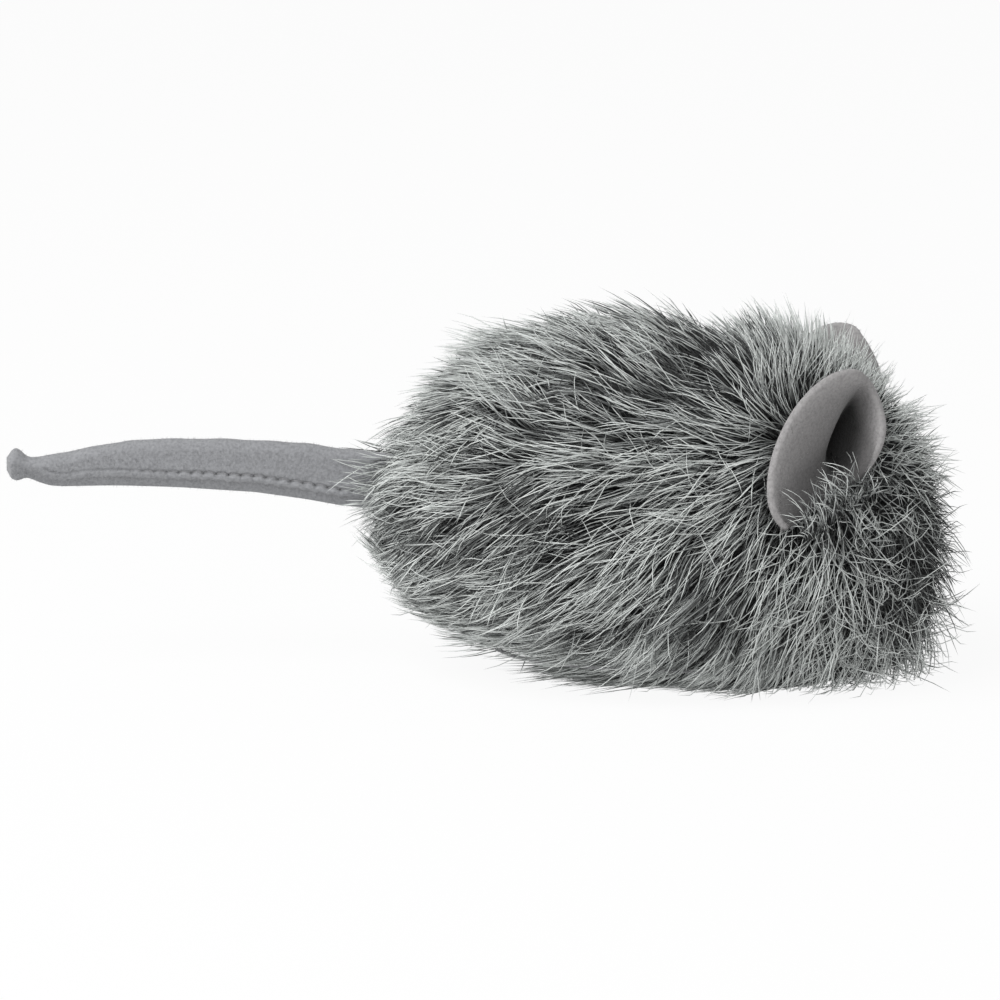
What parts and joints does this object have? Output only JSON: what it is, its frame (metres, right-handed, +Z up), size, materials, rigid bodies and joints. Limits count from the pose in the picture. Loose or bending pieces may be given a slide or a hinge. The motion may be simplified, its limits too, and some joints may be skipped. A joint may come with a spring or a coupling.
{
  "type": "catnip mouse",
  "caption": "Soft plush mouse toy with a long-pile grey fur body, cupped felt ears that fold, a stitched felt tail that swings and lifts, and a catnip sachet in its stuffing.",
  "frame": {"origin": "on the surface that the toy lies on, under the middle of the whole toy from tail tip to nose", "axes": "+X towards the nose, +Z up, +Y towards the toy's left side"},
  "size_m": [0.1546, 0.057, 0.0592],
  "materials": {
    "fur": "long-pile faux fur, light grey tips over charcoal",
    "belly_fur": "faux fur pressed flat",
    "felt": "fuzzy mid-grey felt",
    "thread": "spun grey sewing thread",
    "fibrefill": "loose white polyester fibre",
    "sachet_cloth": "thin unbleached non-woven cloth",
    "dried_leaf": "crumbled dry leaf"
  },
  "bodies": {
    "body": {"fur_side_right": "fur", "fur_side_left": "fur", "base_panel": "belly_fur", "spine_seam_thread": "thread", "base_seam_thread": "thread", "closing_stitch": "thread", "stuffing_front": "fibrefill", "stuffing_rear": "fibrefill", "pouch_upper": "sachet_cloth", "pouch_lower": "sachet_cloth", "pouch_stitch": "thread", "catnip_filling": "dried_leaf", "ear_tack_right": "thread", "ear_tack_left": "thread"},
    "right_ear": {"ear_right": "felt"},
    "left_ear": {"ear_left": "felt"},
    "tail_root": {"tail_tack": "thread"},
    "tail": {"tail_strip": "felt", "tail_seam_thread": "thread"}
  },
  "joints": [
    {"name": "ear_right_fold", "type": "hinge", "parent": "body", "child": "right_ear", "pos_m": [0.05701, -0.02219, 0.03407], "axis": [0.76, 0.471, 0.4478], "range_deg": [-10, 60], "stiffness_Nm_per_rad": 0.01},
    {"name": "ear_left_fold", "type": "hinge", "parent": "body", "child": "left_ear", "pos_m": [0.05701, 0.02219, 0.03407], "axis": [-0.76, 0.471, -0.4478], "range_deg": [-10, 60], "stiffness_Nm_per_rad": 0.01},
    {"name": "tail_swing", "type": "hinge", "parent": "body", "child": "tail_root", "pos_m": [-0.01375, 0, 0.032], "axis": [0, 0, 1], "range_deg": [-35, 35], "stiffness_Nm_per_rad": 0.01},
    {"name": "tail_lift", "type": "hinge", "parent": "tail_root", "child": "tail", "pos_m": [-0.01375, 0, 0.032], "axis": [0, 1, 0], "range_deg": [-20, 30], "stiffness_Nm_per_rad": 0.01}
  ]
}
